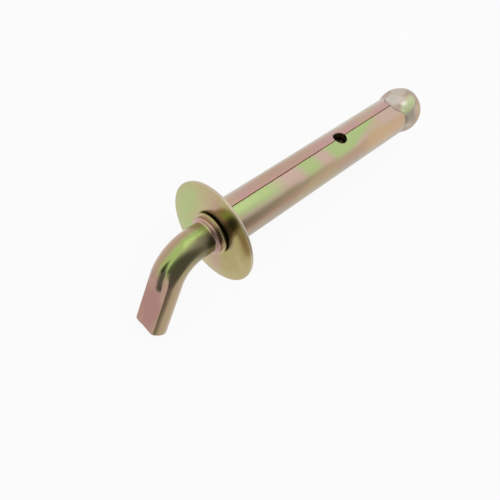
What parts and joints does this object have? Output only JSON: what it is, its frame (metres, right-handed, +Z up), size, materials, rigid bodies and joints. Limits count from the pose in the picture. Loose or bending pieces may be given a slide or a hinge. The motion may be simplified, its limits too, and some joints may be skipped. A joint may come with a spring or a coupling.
{
  "type": "expansion hook bolt",
  "caption": "Expansion hook bolt: bent steel rod with a collar, loose washer, split sleeve and a keyed ball nut that spreads the sleeve in a drilled wall hole.",
  "frame": {"origin": "middle of the washer's wall face, on the bolt's axis; the bolt lies on the nut, the washer's rim and the hook's tip", "axes": "+X from the nut towards the hook along the bolt, which rises about 5 degrees to the washer; +Y to the side the hook's leg points; +Z up from the floor"},
  "size_m": [0.1281, 0.0352, 0.0323],
  "materials": {
    "hook_bolt": "yellow zinc plating with a thin iridescent sheen",
    "washer": "yellow zinc plating with a thin iridescent sheen",
    "expansion_sleeve": "yellow zinc plating with a thin iridescent sheen",
    "ball_nut": "yellow zinc plating with a thin iridescent sheen"
  },
  "bodies": {
    "sleeve": {"expansion_sleeve": "expansion_sleeve"},
    "hook": {"hook_bolt": "hook_bolt"},
    "washer": {"washer": "washer"},
    "nut": {"ball_nut": "ball_nut"}
  },
  "joints": [
    {"name": "hook_turn", "type": "hinge", "parent": "sleeve", "child": "hook", "pos_m": [0, 0, 0], "axis": [0.9962, 0, 0.087], "range_deg": [0, 720]},
    {"name": "nut_travel", "type": "slide", "parent": "sleeve", "child": "nut", "axis": [-0.9962, 0, -0.087], "range_m": [0, 0.003]},
    {"name": "washer_spin", "type": "hinge", "parent": "hook", "child": "washer", "pos_m": [0, 0, 0], "axis": [0.9962, 0, 0.087], "continuous": true}
  ],
  "couplings": [
    {"joint": "nut_travel", "follows": "hook_turn", "m_per_rad": 0.00023873}
  ]
}
